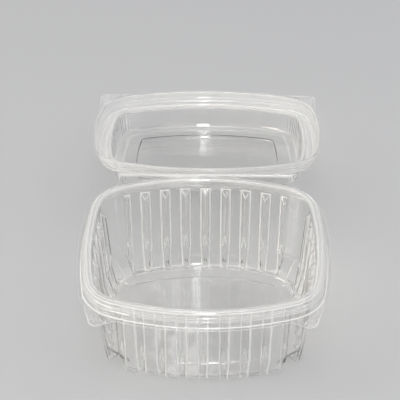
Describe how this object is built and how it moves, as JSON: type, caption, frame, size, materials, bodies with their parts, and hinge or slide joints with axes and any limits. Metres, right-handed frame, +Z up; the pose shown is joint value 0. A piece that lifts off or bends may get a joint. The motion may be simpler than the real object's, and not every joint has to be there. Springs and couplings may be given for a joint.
{
  "type": "hinged clamshell food container",
  "caption": "Clear thermoformed clamshell pack: a fluted base tray with a domed lid on a living hinge, lying open behind it.",
  "frame": {"origin": "under the middle of the tray, on the plane of its foot", "axes": "+Z up from the table, +Y from the tray's front to the hinge and the open lid, +X to the right seen from the front"},
  "size_m": [0.1364, 0.2624, 0.0557],
  "materials": {
    "clear_pet": "gloss"
  },
  "bodies": {
    "tray": {"base_tray": "clear_pet"},
    "cover": {"lid": "clear_pet"}
  },
  "joints": [
    {"name": "lid_hinge", "type": "hinge", "parent": "tray", "child": "cover", "pos_m": [0, 0.07055, 0.04735], "axis": [1, 0, 0], "range_deg": [0, 193.67]}
  ]
}
